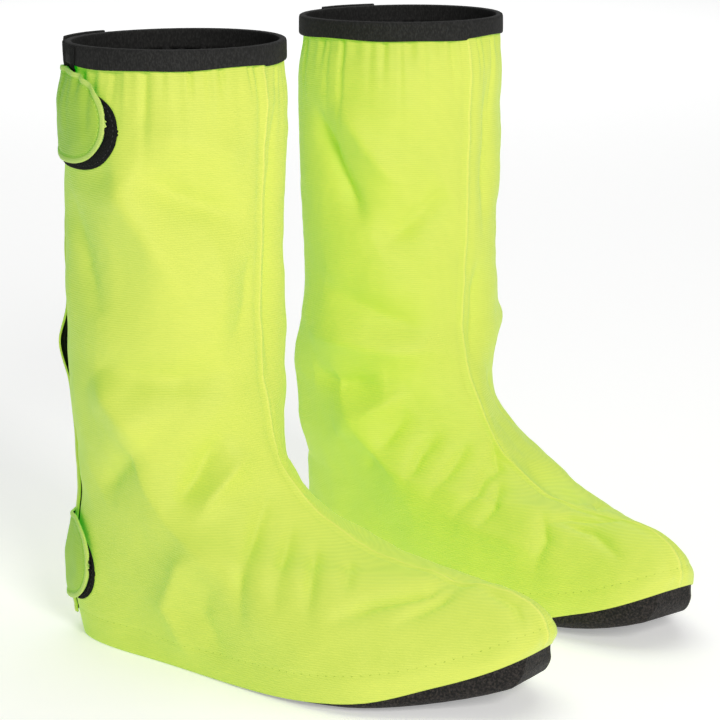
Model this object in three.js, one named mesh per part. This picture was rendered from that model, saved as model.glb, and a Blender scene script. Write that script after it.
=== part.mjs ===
// A pair of calf-high waterproof shoe covers: soft fabric boots that are pulled on over shoes.
// Each cover is two side panels sewn together down the front, on a rubberised sole, with an elastic band
// round the top. It opens all the way down the back, where a flap closes over hook-and-loop tape
// and two tabs wrap round to the outer side.
// Millimetres, +Z up, toes towards -Y, the right cover on the -X side.
import * as THREE from "three";
import { mergeVertices } from "three/addons/utils/BufferGeometryUtils.js";

// Overall sizes of one cover.
const HEIGHT = 358; // ground to the top of the elastic band
const FOOT_LENGTH = 316; // back of the heel to the tip of the toe
const CALF_WIDTH = 130; // across the top
const CALF_DEPTH = 121; // front to back at the top
const ANKLE_HEIGHT = 165; // where the straight shaft begins
const ANKLE_WIDTH = 128;
const ANKLE_DEPTH = 120;
const HEEL_WIDTH = 98; // of the squarish outline where the panels meet the sole, at the heel
const BALL_WIDTH = 120; // the same at the ball of the foot
const TOE_WIDTH = 100; // and at the toe
const OUTER_BULGE = 9; // how much wider the ball is on its outer side than on its inner side
const HEEL_GAP = 228; // between the backs of the two heels
const STAGGER = 7; // how far the right cover stands in front of the left one
const TOE_IN = 7.8; // degrees that each toe points inwards

// Cloth, tape and clearances.
const PANEL_THICKNESS = 1.2;
const SOLE_THICKNESS = 2;
const TAPE_THICKNESS = 1;
const SEAM_TAPE_THICKNESS = 0.5;
const CLEARANCE = 0.3; // between touching pieces
const LAID_ON = 0.6; // between the panels and the pieces sewn onto their faces
const PAD_GAP = 0.4; // between a hook pad and the flap or tab it is sewn to

// The foot's edge and toe spring.
const EDGE_HEIGHT = 3; // of the panels' lower edge above the ground
const TOE_EDGE_HEIGHT = 35; // of the same edge at the toe
const TOE_SPRING = 18; // height of the sole's underside at the toe
const SPRING_START = 7; // power by which the underside rises late, near the toe
const EDGE_START = 5.3; // the same for the panels' lower edge
const RIM_WIDTH = 10; // of the sole's turned-up rim
const TOE_CORNER = 0.75; // power that squares the outline off at the toe, 1 for an ellipse
const HEEL_CORNER = 0.6; // the same at the heel
const INSTEP_POINT = 0.75; // how much the power grows over the instep, which is creased to a point

// Facets: columns round each panel, closer at the back, and rows up the foot and up the shaft.
const COLUMNS = 20;
const COLUMN_GRADE = 1.4;
const FOOT_ROWS = 12;
const TOE_ROWS = 1.3; // power that brings the rows closer together at the toe
const SHAFT_ROWS = 6;

// The elastic band round the top, folded over the panels' upper edge.
const BAND_HEIGHT = 12.5;
const BAND_THICKNESS = 1.1;

// The hem inside the lower edge and the tape behind the front seam.
const HEM_START = 0.12; // of the first row's height, above the panels' lower edge
const HEM_GAP = 1; // between the panels and the hem's facing
const HEM_THICKNESS = 1.1;
const SEAM_TAPE_WIDTH = 20;
const SEAM_TAPE_FIRST_ROW = FOOT_ROWS; // the front seam's tape starts at the ankle

// The back flap, sewn to the inner panel and closing over the outer one.
const FLAP_SEWN = 12; // from the back's centre line to the line it is sewn on
const FLAP_REACH = 33; // from the back's centre line to its free edge
const FLAP_FIRST_ROW = 0.75; // its lower end, in rows above the sole
const FLAP_TAPE_INSET = 4; // of the hook tape from the flap's free edge
const FLAP_TAPE_WIDTH = 22;

// The two closing tabs. Distances round the leg are from the back's centre line.
const TOP_TAB = { bottom: 287, top: 342, root: 18, end: 95 };
const HEEL_TAB = { bottom: 20, top: 76, root: 18, end: 66 };
const TAB_THICKNESS = 1.4;
const TAB_TAPE_MARGIN = 5; // from the tab's edge to its hook pad
const PATCH_SHIFT = 9; // how far a loop patch shows past its tab
const PATCH_DROP = 3; // how far its loop patch sits below the tab
const PATCH_SHRINK = 8; // how much lower its loop patch is than the tab

const lerp = THREE.MathUtils.lerp;
const smooth = THREE.MathUtils.smoothstep;

// Where the surfaces of a stack of pieces lie outside the panels.
const loopTapeOut = LAID_ON + TAPE_THICKNESS;
const hookTapeIn = loopTapeOut + CLEARANCE;
const flapIn = hookTapeIn + TAPE_THICKNESS + PAD_GAP;
const flapOut = flapIn + PANEL_THICKNESS;
const bandOut = CLEARANCE + BAND_THICKNESS;
const panelTop = HEIGHT - BAND_THICKNESS - CLEARANCE;
const bandBottom = HEIGHT - BAND_HEIGHT;

// Centre lines of one cover as (forward, height): up the back of the heel, and from the toe over the
// instep to the shin. The forward places of the front line follow the foot's length.
const backDepth = 8; // the back of the ankle lies this far in front of the heel
const shinForward = backDepth + ANKLE_DEPTH;
const backLine = new THREE.SplineCurve([
  new THREE.Vector2(7, EDGE_HEIGHT),
  new THREE.Vector2(1, 22),
  new THREE.Vector2(0, 48),
  new THREE.Vector2(4, 80),
  new THREE.Vector2(backDepth, 118),
  new THREE.Vector2(backDepth, ANKLE_HEIGHT),
]);
const instep = (share, height) =>
  new THREE.Vector2(lerp(shinForward, FOOT_LENGTH, share), height);
const frontLine = new THREE.SplineCurve([
  instep(0.985, TOE_EDGE_HEIGHT),
  instep(1, TOE_EDGE_HEIGHT + 9),
  instep(0.965, 55),
  instep(0.88, 64),
  instep(0.71, 67),
  instep(0.51, 69),
  instep(0.32, 78),
  instep(0.15, 99),
  instep(0.035, 131),
  instep(0, ANKLE_HEIGHT),
]);

// A level of the cover runs from 0 at the sole's edge to 1 at the ankle and 2 at the top.
// Each level is half a rounded outline from the back line to the front line.
function level(v) {
  if (v <= 1) {
    const back = backLine.getPointAt(Math.max(v, 0));
    const front = frontLine.getPointAt(Math.max(v, 0) ** TOE_ROWS);
    const round = smooth(v, 0, 0.9);
    const point = INSTEP_POINT * smooth(v, 0, 0.45) * (1 - smooth(v, 0.75, 1));
    return {
      back,
      front,
      halfWidth: ANKLE_WIDTH / 2,
      foot: 1 - smooth(v, 0, 1),
      toeCorner: lerp(TOE_CORNER, 1, round) + point,
      heelCorner: lerp(HEEL_CORNER, 1, round),
      late: lerp(EDGE_START, 1, smooth(v, 0, 0.6)),
    };
  }
  const up = v - 1;
  const height = lerp(ANKLE_HEIGHT, panelTop, up);
  const backTop = backDepth + ANKLE_DEPTH / 2 - CALF_DEPTH / 2;
  return {
    back: new THREE.Vector2(lerp(backDepth, backTop, up), height),
    front: new THREE.Vector2(lerp(shinForward, backTop + CALF_DEPTH, up), height),
    halfWidth: lerp(ANKLE_WIDTH, CALF_WIDTH, smooth(up, 0, 1)) / 2,
    foot: 0,
    toeCorner: 1,
    heelCorner: 1,
    late: 1,
  };
}

// Half the foot's width at a share of its length, on the outer side (1) or the inner side (-1).
function footWidth(share, side) {
  const ball = smooth(share, 0.2, 0.66);
  const toe = smooth(share, 0.7, 0.95);
  const width = lerp(lerp(HEEL_WIDTH, BALL_WIDTH, ball), TOE_WIDTH, toe) / 2;
  return width + side * OUTER_BULGE * lerp(0.25, 1, ball) * (1 - 1.3 * toe);
}

// A point of the panels' outer surface. angle runs from 0 at the back over the outer side to PI at the
// front, and below 0 or past PI on the inner side.
function bare(v, angle) {
  const l = level(v);
  const c = Math.cos(angle);
  const s = Math.sin(angle);
  const corner = lerp(l.toeCorner, l.heelCorner, smooth(c, -0.5, 0.5));
  const along = -Math.sign(c) * Math.abs(c) ** corner;
  const across = Math.sign(s) * Math.abs(s) ** corner;
  const share = (1 + along) / 2;
  return new THREE.Vector3(
    -across * lerp(l.halfWidth, footWidth(share, Math.sign(s)), l.foot),
    -lerp(l.back.x, l.front.x, share),
    lerp(l.back.y, l.front.y, share ** l.late),
  );
}

// The same point, moved outwards by offset along the surface's normal.
function surface(v, angle, offset = 0) {
  const point = bare(v, angle);
  if (offset === 0) return point;
  const step = 1e-3;
  const low = Math.max(v - step, 0);
  const high = Math.min(v + step, 2);
  const up = bare(high, angle).sub(bare(low, angle));
  const round = bare(v, angle + step).sub(bare(v, angle - step));
  const normal = round.cross(up).normalize();
  normal.z *= smooth(v, 0, 0.1);
  return point.addScaledVector(normal, offset);
}

// The level whose back line is at a height.
function levelAt(height) {
  if (height >= ANKLE_HEIGHT)
    return 1 + (height - ANKLE_HEIGHT) / (panelTop - ANKLE_HEIGHT);
  let low = 0;
  let high = 1;
  for (let i = 0; i < 30; i += 1) {
    const middle = (low + high) / 2;
    if (level(middle).back.y < height) low = middle;
    else high = middle;
  }
  return low;
}

// The length of a level's outline from the back to the front, and the angle at a distance along it.
const OUTLINE_STEPS = 240;
const outlines = new Map();
function outline(v) {
  const key = v.toFixed(5);
  if (!outlines.has(key)) {
    const lengths = [0];
    let last = bare(v, 0);
    for (let i = 1; i <= OUTLINE_STEPS; i += 1) {
      const next = bare(v, (Math.PI * i) / OUTLINE_STEPS);
      lengths.push(lengths[i - 1] + next.distanceTo(last));
      last = next;
    }
    outlines.set(key, lengths);
  }
  return outlines.get(key);
}
const outlineLength = (v) => outline(v)[OUTLINE_STEPS];
function angleAt(v, distance) {
  const lengths = outline(v);
  const wanted = Math.min(Math.abs(distance), lengths[OUTLINE_STEPS]);
  let i = 1;
  while (i < OUTLINE_STEPS && lengths[i] < wanted) i += 1;
  const share = (wanted - lengths[i - 1]) / (lengths[i] - lengths[i - 1]);
  return (Math.sign(distance) * Math.PI * (i - 1 + share)) / OUTLINE_STEPS;
}

// The distance from the back at a share of a panel's columns, and the level at a share of its rows.
function station(v, share, gap) {
  return lerp(gap, outlineLength(v) - gap, share ** COLUMN_GRADE);
}
const ROWS = FOOT_ROWS + SHAFT_ROWS;
function rowLevel(row) {
  return row <= FOOT_ROWS ? row / FOOT_ROWS : 1 + (row - FOOT_ROWS) / SHAFT_ROWS;
}

// The angle at a share of the way round a level: from the back over the outer side and the front.
function roundAngle(v, share) {
  const half = share <= 0.5 ? 2 * share : 2 - 2 * share;
  const angle = angleAt(v, station(v, half, CLEARANCE / 2));
  return share <= 0.5 ? angle : 2 * Math.PI - angle;
}

// A point at a height and a distance round the cover from the back's centre line, outer side positive.
function wrapped(height, distance, offset) {
  const v = Math.min(levelAt(height), 2);
  const point = surface(v, angleAt(v, distance), offset);
  if (height > panelTop) point.z += height - panelTop;
  return point;
}

// A closed sheet: a box whose two broad faces take the places that place(across, up, outer) gives,
// with across and up from 0 to 1. Edges that shrink to a point lose their flat triangles.
function sheet(columns, rows, place) {
  const box = new THREE.BoxGeometry(1, 1, 1, columns, rows, 1);
  box.deleteAttribute("normal");
  box.deleteAttribute("uv");
  const corners = box.attributes.position;
  for (let i = 0; i < corners.count; i += 1) {
    const at = place(
      corners.getX(i) + 0.5,
      corners.getY(i) + 0.5,
      corners.getZ(i) > 0,
    );
    corners.setXYZ(i, at.x, at.y, at.z);
  }
  const merged = mergeVertices(box, 1e-3);
  const faces = [];
  const index = merged.index.array;
  for (let i = 0; i < index.length; i += 3) {
    const [a, b, c] = index.slice(i, i + 3);
    if (a !== b && b !== c && c !== a) faces.push(a, b, c);
  }
  merged.setIndex(faces);
  if (volume(merged) < 0) merged.setIndex(faces.reverse());
  merged.computeVertexNormals();
  return merged;
}

function volume(geometry) {
  const at = geometry.attributes.position;
  const index = geometry.index.array;
  const [a, b, c] = [new THREE.Vector3(), new THREE.Vector3(), new THREE.Vector3()];
  let sum = 0;
  for (let i = 0; i < index.length; i += 3) {
    a.fromBufferAttribute(at, index[i]);
    b.fromBufferAttribute(at, index[i + 1]);
    c.fromBufferAttribute(at, index[i + 2]);
    sum += a.dot(b.cross(c)) / 6;
  }
  return sum;
}

// A side panel, from the back's centre line to the front seam. side is 1 for the outer, -1 for the inner.
function panel(side) {
  const edge = CLEARANCE / 2;
  return sheet(COLUMNS, ROWS, (across, up, outer) => {
    const v = rowLevel(up * ROWS);
    const distance = station(v, across, edge);
    const at = surface(v, side * angleAt(v, distance), outer ? 0 : -PANEL_THICKNESS);
    at.x = -side * Math.max(-side * at.x, edge);
    return at;
  });
}

// The sole, a shallow tray under the panels' lower edge, with its rim turned up to meet it.
function sole() {
  const heel = bare(0, 0).y;
  const toe = bare(0, Math.PI).y;
  return sheet(COLUMNS, 8, (along, across, outer) => {
    const angle = angleAt(0, station(0, along, 0));
    const outerEdge = bare(0, angle);
    const edge = across < 0.5 ? outerEdge : bare(0, -angle);
    const toSide = Math.abs(2 * across - 1);
    const share = (edge.y - heel) / (toe - heel);
    const sideways = (1 - toSide) * Math.abs(edge.x);
    const inwards = Math.min(sideways, heel - edge.y, edge.y - toe);
    const rim = Math.max(0, 1 - inwards / RIM_WIDTH) ** 2;
    const under = TOE_SPRING * share ** SPRING_START;
    const height = lerp(under, edge.z - CLEARANCE, rim);
    const at = new THREE.Vector3(toSide * edge.x, edge.y, height);
    if (outer) {
      at.x *= 1 - (2 * SOLE_THICKNESS) / HEEL_WIDTH;
      at.y = lerp(at.y, (heel + toe) / 2, (2 * SOLE_THICKNESS) / FOOT_LENGTH);
      at.z += SOLE_THICKNESS * (1 - rim);
    }
    return at;
  });
}

// The elastic band, folded over the panels' upper edge from the outside to the inside.
function collarBand() {
  return sheet(2 * COLUMNS, 3, (across, up, outer) =>
    foldedBand(roundAngle(2, across), up, outer),
  );
}

// A point of the band's folded section: up runs from its outer lower edge over the fold to the inner one.
function foldedBand(angle, up, outer) {
  const out = outer ? bandOut : CLEARANCE;
  const inn = -PANEL_THICKNESS - (outer ? bandOut : CLEARANCE);
  const top = panelTop + (outer ? bandOut : CLEARANCE);
  const leg = 1 / 3;
  let offset = lerp(out, inn, (up - leg) / (1 - 2 * leg));
  let height = top;
  if (up <= leg + 1e-6) {
    offset = out;
    height = lerp(bandBottom, top, up / leg);
  } else if (up >= 1 - leg - 1e-6) {
    offset = inn;
    height = lerp(bandBottom, top, (1 - up) / leg);
  }
  const v = Math.min(levelAt(height), 2);
  const at = surface(v, angle, offset);
  at.z = height;
  return at;
}

// Heights of the rows of the flap and its tapes: the panels' own rows, ending below the band.
function backRow(row, inset) {
  const height = bare(rowLevel(Math.max(row, FLAP_FIRST_ROW)), 0).z;
  return Math.min(height, bandBottom - CLEARANCE - inset);
}

// A strip up the back between two distances round the cover.
function backTape(inner, outer) {
  const to = FLAP_REACH - FLAP_TAPE_INSET;
  return sheet(4, ROWS - 1, (across, up, out) => {
    const distance = lerp(to - FLAP_TAPE_WIDTH, to, across);
    return wrapped(backRow(1 + up * (ROWS - 1), 3), distance, out ? outer : inner);
  });
}

// The back flap hugs the inner panel where it is sewn and stands off over the tapes past the opening.
function rearFlap() {
  return sheet(7, ROWS, (across, up, out) => {
    const distance = lerp(-FLAP_SEWN, FLAP_REACH, across);
    const stand = lerp(LAID_ON, flapIn, smooth(distance, -FLAP_SEWN, 0));
    return wrapped(backRow(up * ROWS, 0), distance, stand + (out ? PANEL_THICKNESS : 0));
  });
}

// The flap's own piece of elastic, over the end of the band.
function flapBand() {
  const inner = bandOut + LAID_ON;
  return sheet(8, 2, (across, up, out) =>
    wrapped(
      lerp(bandBottom, HEIGHT, up),
      lerp(-FLAP_SEWN, FLAP_REACH, across),
      out ? inner + 2 * BAND_THICKNESS : inner,
    ),
  );
}

// A tab's outline: a straight sewn edge, a sloping upper edge and a round free end.
// It gives the height and distance of the outline at across and up.
function tabPoint(tab, across, up, margin = 0) {
  const high = tab.top - tab.bottom - 2 * margin;
  const bulge = high / 2;
  const u = 2 * up - 1;
  const end = tab.end - margin - bulge * 0.8 * (1 - Math.sqrt(Math.max(0, 1 - u * u * 0.96)));
  const distance = lerp(tab.root + margin, end, across);
  return { distance, height: tab.bottom + margin + high * up };
}

// A tab stands over the flap's edge near its root and comes down to the loop patch past it.
function tabStand(distance) {
  const over = flapOut + LAID_ON;
  return lerp(over, flapIn, smooth(distance, FLAP_REACH + 2, FLAP_REACH + 11));
}
function closingTab(tab) {
  return sheet(10, 8, (across, up, out) => {
    const at = tabPoint(tab, across, up);
    return wrapped(at.height, at.distance, tabStand(at.distance) + (out ? TAB_THICKNESS : 0));
  });
}
const padStart = FLAP_REACH + 12;
function hookPad(tab) {
  const pad = { ...tab, root: padStart - TAB_TAPE_MARGIN };
  return sheet(6, 8, (across, up, out) => {
    const at = tabPoint(pad, across, up, TAB_TAPE_MARGIN);
    return wrapped(at.height, at.distance, out ? flapIn - PAD_GAP : hookTapeIn);
  });
}
function loopPatch(tab) {
  const patch = {
    bottom: tab.bottom - PATCH_DROP,
    top: tab.top - PATCH_DROP - PATCH_SHRINK,
    root: padStart - TAB_TAPE_MARGIN,
    end: tab.end + PATCH_SHIFT,
  };
  return sheet(7, 8, (across, up, out) => {
    const at = tabPoint(patch, across, up);
    return wrapped(at.height, at.distance, out ? loopTapeOut : LAID_ON);
  });
}

// Tape behind the front seam, from above the hem to below the band.
function frontSeamTape() {
  const inner = -PANEL_THICKNESS - LAID_ON;
  const first = SEAM_TAPE_FIRST_ROW;
  const rows = ROWS - first;
  return sheet(2, rows, (across, up, out) => {
    const v = Math.min(rowLevel(first + up * rows), levelAt(bandBottom - 3));
    const distance = outlineLength(v) - (SEAM_TAPE_WIDTH / 2) * Math.abs(2 * across - 1);
    const angle = angleAt(v, distance);
    const turned = across > 0.5 ? 2 * Math.PI - angle : angle;
    return surface(v, turned, out ? inner : inner - SEAM_TAPE_THICKNESS);
  });
}

// The turned hem inside the lower edge, from one side of the heel round the toe to the other.
function hemFacing() {
  const inner = -PANEL_THICKNESS - HEM_GAP;
  return sheet(2 * COLUMNS, 1, (across, up, out) => {
    const offset = out ? inner : inner - HEM_THICKNESS;
    const low = surface(0, roundAngle(0, across), offset);
    const high = surface(rowLevel(1), roundAngle(rowLevel(1), across), offset);
    return low.lerp(high, lerp(HEM_START, 1, up));
  });
}

// Materials.
const cloth = new THREE.MeshStandardMaterial({ color: 0xcdf04e, roughness: 0.62, metalness: 0 });
const elastic = new THREE.MeshStandardMaterial({ color: 0x1b1b1b, roughness: 0.85, metalness: 0 });
const hookAndLoop = new THREE.MeshStandardMaterial({ color: 0x0e0f0e, roughness: 0.95, metalness: 0 });
const rubberised = new THREE.MeshStandardMaterial({ color: 0x2a2624, roughness: 0.8, metalness: 0 });
const seamTape = new THREE.MeshStandardMaterial({ color: 0x202020, roughness: 0.5, metalness: 0 });

function piece(name, geometry, material) {
  const mesh = new THREE.Mesh(geometry, material);
  mesh.name = name;
  return mesh;
}

// Marks the upright line on which a sewn edge folds: the outermost part of that edge.
function hinge(name, bottom, top, distance, offset) {
  const marker = new THREE.Object3D();
  marker.name = name;
  const heights = Array.from({ length: 9 }, (_, i) => lerp(bottom, top, i / 8));
  const places = heights.map((height) => wrapped(height, distance, offset));
  const outermost = places.reduce((far, at) => (at.y > far.y ? at : far));
  marker.position.copy(outermost).setZ((bottom + top) / 2);
  return marker;
}

function tabHinge(name, tab) {
  const offset = tabStand(tab.root) + TAB_THICKNESS / 2;
  return hinge(name, tab.bottom, tab.top, tab.root, offset);
}

// One cover, as the right foot's. side names its pieces.
function cover(side) {
  const group = new THREE.Group();
  const name = (word) => `${side}_${word}`;
  group.add(
    piece(name("outer_panel"), panel(1), cloth),
    piece(name("inner_panel"), panel(-1), cloth),
    piece(name("sole"), sole(), rubberised),
    piece(name("collar_band"), collarBand(), elastic),
    piece(name("front_seam_tape"), frontSeamTape(), seamTape),
    piece(name("hem_facing"), hemFacing(), seamTape),
    piece(name("back_loop_tape"), backTape(LAID_ON, loopTapeOut), hookAndLoop),
    piece(name("top_loop_patch"), loopPatch(TOP_TAB), hookAndLoop),
    piece(name("heel_loop_patch"), loopPatch(HEEL_TAB), hookAndLoop),
    piece(name("back_flap"), rearFlap(), cloth),
    piece(name("back_hook_tape"), backTape(hookTapeIn, hookTapeIn + TAPE_THICKNESS), hookAndLoop),
    piece(name("flap_band"), flapBand(), elastic),
    piece(name("top_tab"), closingTab(TOP_TAB), cloth),
    piece(name("top_hook_pad"), hookPad(TOP_TAB), hookAndLoop),
    piece(name("heel_tab"), closingTab(HEEL_TAB), cloth),
    piece(name("heel_hook_pad"), hookPad(HEEL_TAB), hookAndLoop),
    hinge(name("flap_hinge"), backRow(0, 0), HEIGHT, -FLAP_SEWN, CLEARANCE + PANEL_THICKNESS),
    tabHinge(name("top_tab_hinge"), TOP_TAB),
    tabHinge(name("heel_tab_hinge"), HEEL_TAB),
  );
  group.position.x = -HEEL_GAP / 2;
  group.rotation.z = THREE.MathUtils.degToRad(TOE_IN);
  return group;
}

// The pair stands on the ground, centred on its box, the left cover a mirror image of the right one.
const right = new THREE.Group().add(cover("right"));
const left = new THREE.Group().add(cover("left"));
left.scale.x = -1;
right.position.y = -STAGGER / 2;
left.position.y = STAGGER / 2;
const covers = new THREE.Group().add(right, left);
covers.updateMatrixWorld(true);
const box = new THREE.Box3().setFromObject(covers, true);
const centre = box.getCenter(new THREE.Vector3());
covers.position.set(-centre.x, -centre.y, -box.min.z);
const pair = new THREE.Group().add(covers);
pair.updateMatrixWorld(true);

export default pair;
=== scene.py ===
# A pair of calf-high waterproof shoe covers: soft overshoes of bright coated cloth with an elastic top,
# a flap down the back that closes with hook-and-loop tape and two tabs, and a rubberised sole.
from math import cos, pi, radians, sin

import bmesh
import bpy
import numpy as np
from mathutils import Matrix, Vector, noise


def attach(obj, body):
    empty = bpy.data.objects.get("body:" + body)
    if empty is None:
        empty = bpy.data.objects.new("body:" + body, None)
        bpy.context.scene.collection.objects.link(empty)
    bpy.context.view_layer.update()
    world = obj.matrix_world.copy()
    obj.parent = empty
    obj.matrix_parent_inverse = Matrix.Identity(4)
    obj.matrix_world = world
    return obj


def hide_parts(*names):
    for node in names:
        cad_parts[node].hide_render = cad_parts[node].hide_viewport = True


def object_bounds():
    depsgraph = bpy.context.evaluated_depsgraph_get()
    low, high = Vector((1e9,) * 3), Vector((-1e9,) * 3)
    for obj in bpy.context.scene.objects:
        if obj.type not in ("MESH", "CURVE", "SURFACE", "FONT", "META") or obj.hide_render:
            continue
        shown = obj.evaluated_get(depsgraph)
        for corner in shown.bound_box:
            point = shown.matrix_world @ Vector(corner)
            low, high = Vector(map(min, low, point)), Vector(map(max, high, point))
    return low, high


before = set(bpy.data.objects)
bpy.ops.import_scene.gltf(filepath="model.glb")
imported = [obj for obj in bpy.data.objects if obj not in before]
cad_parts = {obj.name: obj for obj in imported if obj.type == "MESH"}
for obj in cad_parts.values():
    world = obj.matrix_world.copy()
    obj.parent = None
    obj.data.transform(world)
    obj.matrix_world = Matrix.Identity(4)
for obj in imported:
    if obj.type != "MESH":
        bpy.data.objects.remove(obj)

cad_low, cad_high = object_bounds()
HEEL_BACK = 0.00797  # from the frame's rearmost point forward to the heel line of an unstaggered cover

# ---------------------------------------------------------------------------------------------------
# Studio: a pale floor, even light from all round, a large soft lamp high on the right and a weaker one
# on the left. The camera stands in front of the right cover's outer side and looks a little down.
heel_line = cad_high.y - HEEL_BACK
floor_mesh = bmesh.new()
bmesh.ops.create_grid(floor_mesh, x_segments=1, y_segments=1, size=14)
floor_data = bpy.data.meshes.new("floor")
floor_mesh.to_mesh(floor_data)
floor = bpy.data.objects.new("floor", floor_data)
bpy.context.collection.objects.link(floor)
pale = bpy.data.materials.new("pale_floor")
pale.use_nodes = True
pale_surface = pale.node_tree.nodes["Principled BSDF"]
pale_surface.inputs["Base Color"].default_value = (0.93, 0.93, 0.93, 1)
pale_surface.inputs["Roughness"].default_value = 0.9
pale_surface.inputs["Specular IOR Level"].default_value = 0.1
pale_surface.inputs["Emission Color"].default_value = (1, 1, 1, 1)
pale_surface.inputs["Emission Strength"].default_value = 0.34
floor_data.materials.append(pale)

world = bpy.data.worlds.new("studio")
bpy.context.scene.world = world
world.use_nodes = True
world.node_tree.nodes["Background"].inputs["Color"].default_value = (0.97, 1.0, 0.99, 1)
world.node_tree.nodes["Background"].inputs["Strength"].default_value = 0.15


def lamp(name, place, aim, size, power, colour):
    light = bpy.data.lights.new(name, "AREA")
    light.shape = "RECTANGLE"
    light.size, light.size_y = size
    light.energy = power
    light.color = colour
    holder = bpy.data.objects.new(name, light)
    holder.location = place
    holder.rotation_euler = (Vector(aim) - Vector(place)).to_track_quat("-Z", "Y").to_euler()
    bpy.context.collection.objects.link(holder)


lamp("key", (-1.45, -2.55, 1.6), (0, 0, 0.2), (0.9, 0.9), 55, (1, 0.98, 0.95))
lamp("fill", (1.6, -1.8, 1.0), (0, 0, 0.2), (1.4, 1.4), 1.5, (1, 1, 1))
lamp("top", (0.5, 0.3, 2.6), (0, 0, 0), (2.2, 2.2), 25, (1, 1, 1))
lamp("far_floor", (2.9, 2.7, 2.4), (3.2, 3.0, 0), (3, 3), 50, (1, 1, 1))

camera_data = bpy.data.cameras.new("camera")
camera_data.lens = 133
camera_data.clip_end = 60
camera = bpy.data.objects.new("camera", camera_data)
bpy.context.collection.objects.link(camera)
camera.location = (-1.1925, heel_line - 1.1485, 0.507)
view_down = radians(12.49)
view_way = Vector((0.757 * cos(view_down), 0.653 * cos(view_down), -sin(view_down)))
camera.rotation_euler = view_way.to_track_quat("-Z", "Y").to_euler()
bpy.context.scene.camera = camera
bpy.context.scene.view_settings.view_transform = "Standard"

# ---------------------------------------------------------------------------------------------------
# Side panels: two pieces of ribbed coated cloth per cover, joined by a seam from the top down the shin
# and over the instep to the toe. Millimetres, in one cover's own frame: forward, outwards, up.
HEIGHT = 358
FOOT_LENGTH = 316
CALF_WIDTH, CALF_DEPTH = 130, 121
ANKLE_HEIGHT, ANKLE_WIDTH, ANKLE_DEPTH = 165, 128, 120
HEEL_WIDTH, BALL_WIDTH, TOE_WIDTH, OUTER_BULGE = 98, 120, 100, 9
BACK_DEPTH = 8
EDGE_BEND, TOE_CORNER, HEEL_CORNER, INSTEP_POINT = 5.3, 0.75, 0.6, 0.75
PANEL_TOP = HEIGHT - 1.4
CLOTH = 1.2
HEEL_GAP, TOE_IN, STAGGER = 228, radians(7.8), 7


def smooth(x, low, high):
    t = np.clip((np.asarray(x, float) - low) / (high - low), 0, 1)
    return t * t * (3 - 2 * t)


def mix(a, b, share):
    return a + (b - a) * share


def curve_table(points):
    """A smooth curve through the points, as evenly spaced places along it."""
    p = np.array(points, float)
    p = np.vstack([2 * p[0] - p[1], p, 2 * p[-1] - p[-2]])
    fine = []
    for i in range(1, len(p) - 2):
        t = np.linspace(0, 1, 60, endpoint=False)[:, None]
        a, b, c, d = p[i - 1], p[i], p[i + 1], p[i + 2]
        fine.append(0.5 * (2 * b + (c - a) * t + (2 * a - 5 * b + 4 * c - d) * t**2
                           + (3 * b - a - 3 * c + d) * t**3))
    fine = np.vstack(fine + [p[-2:-1]])
    length = np.concatenate([[0], np.cumsum(np.linalg.norm(np.diff(fine, axis=0), axis=1))])
    share = np.linspace(0, 1, 400)
    return share, np.stack([np.interp(share * length[-1], length, fine[:, k]) for k in (0, 1)], 1)


SHIN = BACK_DEPTH + ANKLE_DEPTH
back_line = curve_table([(7, 3), (1, 22), (0, 48), (4, 80), (BACK_DEPTH, 118), (BACK_DEPTH, ANKLE_HEIGHT)])
front_line = curve_table([(mix(SHIN, FOOT_LENGTH, share), height) for share, height in (
    (0.985, 35), (1, 44), (0.965, 55), (0.88, 64), (0.71, 67), (0.51, 69), (0.32, 78), (0.15, 99),
    (0.035, 131), (0, ANKLE_HEIGHT))])


def follow(table, share):
    return np.stack([np.interp(share, table[0], table[1][:, k]) for k in (0, 1)], -1)


def bare(level, angle):
    """A point of the smooth outer surface. Level is 0 at the sole, 1 at the ankle and 2 at the top; angle is
    0 at the back, pi at the front, and negative on the inner side."""
    level, angle = np.broadcast_arrays(np.asarray(level, float), np.asarray(angle, float))
    foot, up = np.clip(level, 0, 1), np.clip(level - 1, 0, 1)[..., None]
    back_top = BACK_DEPTH + ANKLE_DEPTH / 2 - CALF_DEPTH / 2
    back = mix(follow(back_line, foot), np.array([back_top, PANEL_TOP]), up)
    front = mix(follow(front_line, foot**1.3), np.array([back_top + CALF_DEPTH, PANEL_TOP]), up)
    late = mix(EDGE_BEND, 1, smooth(foot, 0, 0.6))
    c, s = np.cos(angle), np.sin(angle)
    to_heel = smooth(c, -0.5, 0.5)
    point = INSTEP_POINT * smooth(foot, 0, 0.45) * (1 - smooth(level, 0.75, 1))
    corner = mix(mix(TOE_CORNER, HEEL_CORNER, to_heel), 1, smooth(foot, 0, 0.9)) + point * (1 - to_heel)
    along = -np.sign(c) * np.abs(c) ** corner
    across = np.sign(s) * np.abs(s) ** corner
    share = (1 + along) / 2
    ball, toe = smooth(share, 0.2, 0.66), smooth(share, 0.7, 0.95)
    foot_half = mix(mix(HEEL_WIDTH, BALL_WIDTH, ball), TOE_WIDTH, toe) / 2
    foot_half = foot_half + np.sign(s) * OUTER_BULGE * mix(0.25, 1, ball) * (1 - 1.3 * toe)
    leg_half = mix(ANKLE_WIDTH, CALF_WIDTH, smooth(level, 1, 2)) / 2
    half = mix(leg_half, foot_half, 1 - smooth(foot, 0, 1))
    height = mix(back[..., 1], front[..., 1], share**late)
    return np.stack([mix(back[..., 0], front[..., 0], share), across * half, height], -1)


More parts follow.
